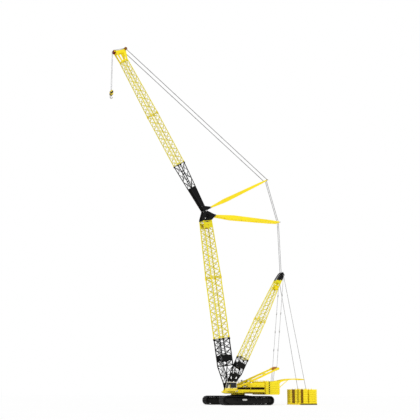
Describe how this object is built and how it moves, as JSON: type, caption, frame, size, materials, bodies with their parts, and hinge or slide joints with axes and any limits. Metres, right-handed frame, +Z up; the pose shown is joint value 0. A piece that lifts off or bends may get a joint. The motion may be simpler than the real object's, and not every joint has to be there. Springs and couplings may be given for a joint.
{
  "type": "crawler crane with derrick mast and luffing jib, 1:10 scale model",
  "caption": "Crawler crane with lattice main boom, luffing jib on struts, derrick mast, slewing platform, cab, counterweights, suspended ballast and hook.",
  "frame": {"origin": "on the ground under the slewing axis, midway between the tracks", "axes": "+X the way the jib points, +Y the cab's side, +Z up"},
  "size_m": [5.1782, 1.075, 8.095],
  "materials": {
    "yellow_paint": "semi-gloss",
    "black_paint": "satin",
    "rope_steel": "satin",
    "cab_glass": "tinted",
    "seat_plastic": "matt",
    "sheave_orange": "satin",
    "cream_paint": "semi-gloss",
    "sheave_red": "satin",
    "bare_steel": "satin"
  },
  "bodies": {
    "undercarriage": {"car_body": "black_paint", "slewing_ring": "black_paint", "track_frame_left": "black_paint", "track_frame_right": "black_paint", "track_left": "black_paint", "track_right": "black_paint", "track_wheels_left": "black_paint", "track_wheels_right": "black_paint"},
    "superstructure": {"slewing_platform": "yellow_paint", "foot_pins": "bare_steel", "cab_mount": "bare_steel", "hoist_winch": "black_paint", "luffing_winch": "black_paint", "machinery_house_left": "yellow_paint", "machinery_house_right": "yellow_paint", "engine": "black_paint", "counterweight_carrier": "yellow_paint", "counterweight_left": "yellow_paint", "counterweight_right": "yellow_paint", "gantry_lower_block": "black_paint", "ballast_guide_frame": "yellow_paint", "ballast_tray": "yellow_paint", "ballast_blocks": "yellow_paint", "ballast_ropes": "rope_steel", "gantry_ropes": "rope_steel"},
    "cab": {"cab_shell": "cream_paint", "cab_glass": "cab_glass", "operator_seat": "seat_plastic"},
    "cab_door": {"cab_door": "cream_paint", "cab_door_glass": "cab_glass"},
    "gantry": {"gantry_frame": "yellow_paint", "gantry_sheaves": "sheave_orange"},
    "derrick": {"derrick_foot": "black_paint", "derrick_lower": "yellow_paint", "derrick_upper": "yellow_paint", "derrick_head": "black_paint", "derrick_winch": "black_paint", "gantry_pendants": "rope_steel"},
    "boom": {"boom_foot": "black_paint", "boom_lower": "yellow_paint", "boom_upper": "yellow_paint", "boom_head": "black_paint", "head_pins": "bare_steel", "boom_winch": "black_paint", "boom_top_sheaves": "sheave_orange", "rear_strut": "yellow_paint", "boom_luffing_ropes": "rope_steel"},
    "jib": {"jib_foot": "black_paint", "jib_lower": "yellow_paint", "jib_upper": "yellow_paint", "jib_head": "yellow_paint", "jib_guide_sheaves": "sheave_orange", "front_strut": "yellow_paint", "strut_pins": "bare_steel", "jib_stays": "rope_steel", "jib_luffing_ropes": "rope_steel"},
    "tip_sheave": {"tip_sheave": "sheave_red"},
    "hoist_line": {"hoist_ropes": "rope_steel"},
    "hook_block": {"hook_block": "yellow_paint"},
    "hook": {"hook": "bare_steel"}
  },
  "joints": [
    {"name": "slew", "type": "hinge", "parent": "undercarriage", "child": "superstructure", "pos_m": [0, 0, 0.232], "axis": [0, 0, 1], "continuous": true},
    {"name": "cab_tilt", "type": "hinge", "parent": "superstructure", "child": "cab", "pos_m": [0.201, 0.3, 0.32], "axis": [0, -1, 0], "range_deg": [0, 20]},
    {"name": "cab_door", "type": "hinge", "parent": "cab", "child": "cab_door", "pos_m": [0.248, 0.3825, 0.405], "axis": [0, 0, 1], "range_deg": [0, 90]},
    {"name": "derrick_luff", "type": "hinge", "parent": "superstructure", "child": "derrick", "pos_m": [0.24, 0, 0.345], "axis": [0, -1, 0], "range_deg": [-8, 3], "deforming": ["ballast_ropes", "gantry_ropes"]},
    {"name": "gantry_luff", "type": "hinge", "parent": "superstructure", "child": "gantry", "pos_m": [0.06, 0, 0.4], "axis": [0, -1, 0], "range_deg": [-9.93, 4.04]},
    {"name": "boom_luff", "type": "hinge", "parent": "derrick", "child": "boom", "pos_m": [0.24, 0, 0.345], "axis": [0, -1, 0], "range_deg": [-17, 3], "deforming": ["boom_luffing_ropes"]},
    {"name": "jib_luff", "type": "hinge", "parent": "boom", "child": "jib", "pos_m": [0.86954, 0, 4.41156], "axis": [0, -1, 0], "range_deg": [-45, 12], "deforming": ["jib_luffing_ropes"]},
    {"name": "tip_sheave_level", "type": "hinge", "parent": "jib", "child": "tip_sheave", "pos_m": [3.18424, 0, 7.95957], "axis": [0, -1, 0], "range_deg": [-3, 17]},
    {"name": "hoist_line_level", "type": "hinge", "parent": "tip_sheave", "child": "hoist_line", "pos_m": [3.18424, 0, 7.95957], "axis": [0, -1, 0], "range_deg": [-12, 45]},
    {"name": "hook_hoist", "type": "slide", "parent": "hoist_line", "child": "hook_block", "axis": [0, 0, -1], "range_m": [-0.6, 4], "deforming": ["hoist_ropes"]},
    {"name": "hook_swivel", "type": "hinge", "parent": "hook_block", "child": "hook", "pos_m": [3.22221, 0, 6.89457], "axis": [0, 0, 1], "continuous": true}
  ],
  "couplings": [
    {"joint": "gantry_luff", "follows": "derrick_luff", "ratio": 1.179},
    {"joint": "tip_sheave_level", "follows": "boom_luff", "ratio": -1},
    {"joint": "hoist_line_level", "follows": "jib_luff", "ratio": -1}
  ]
}
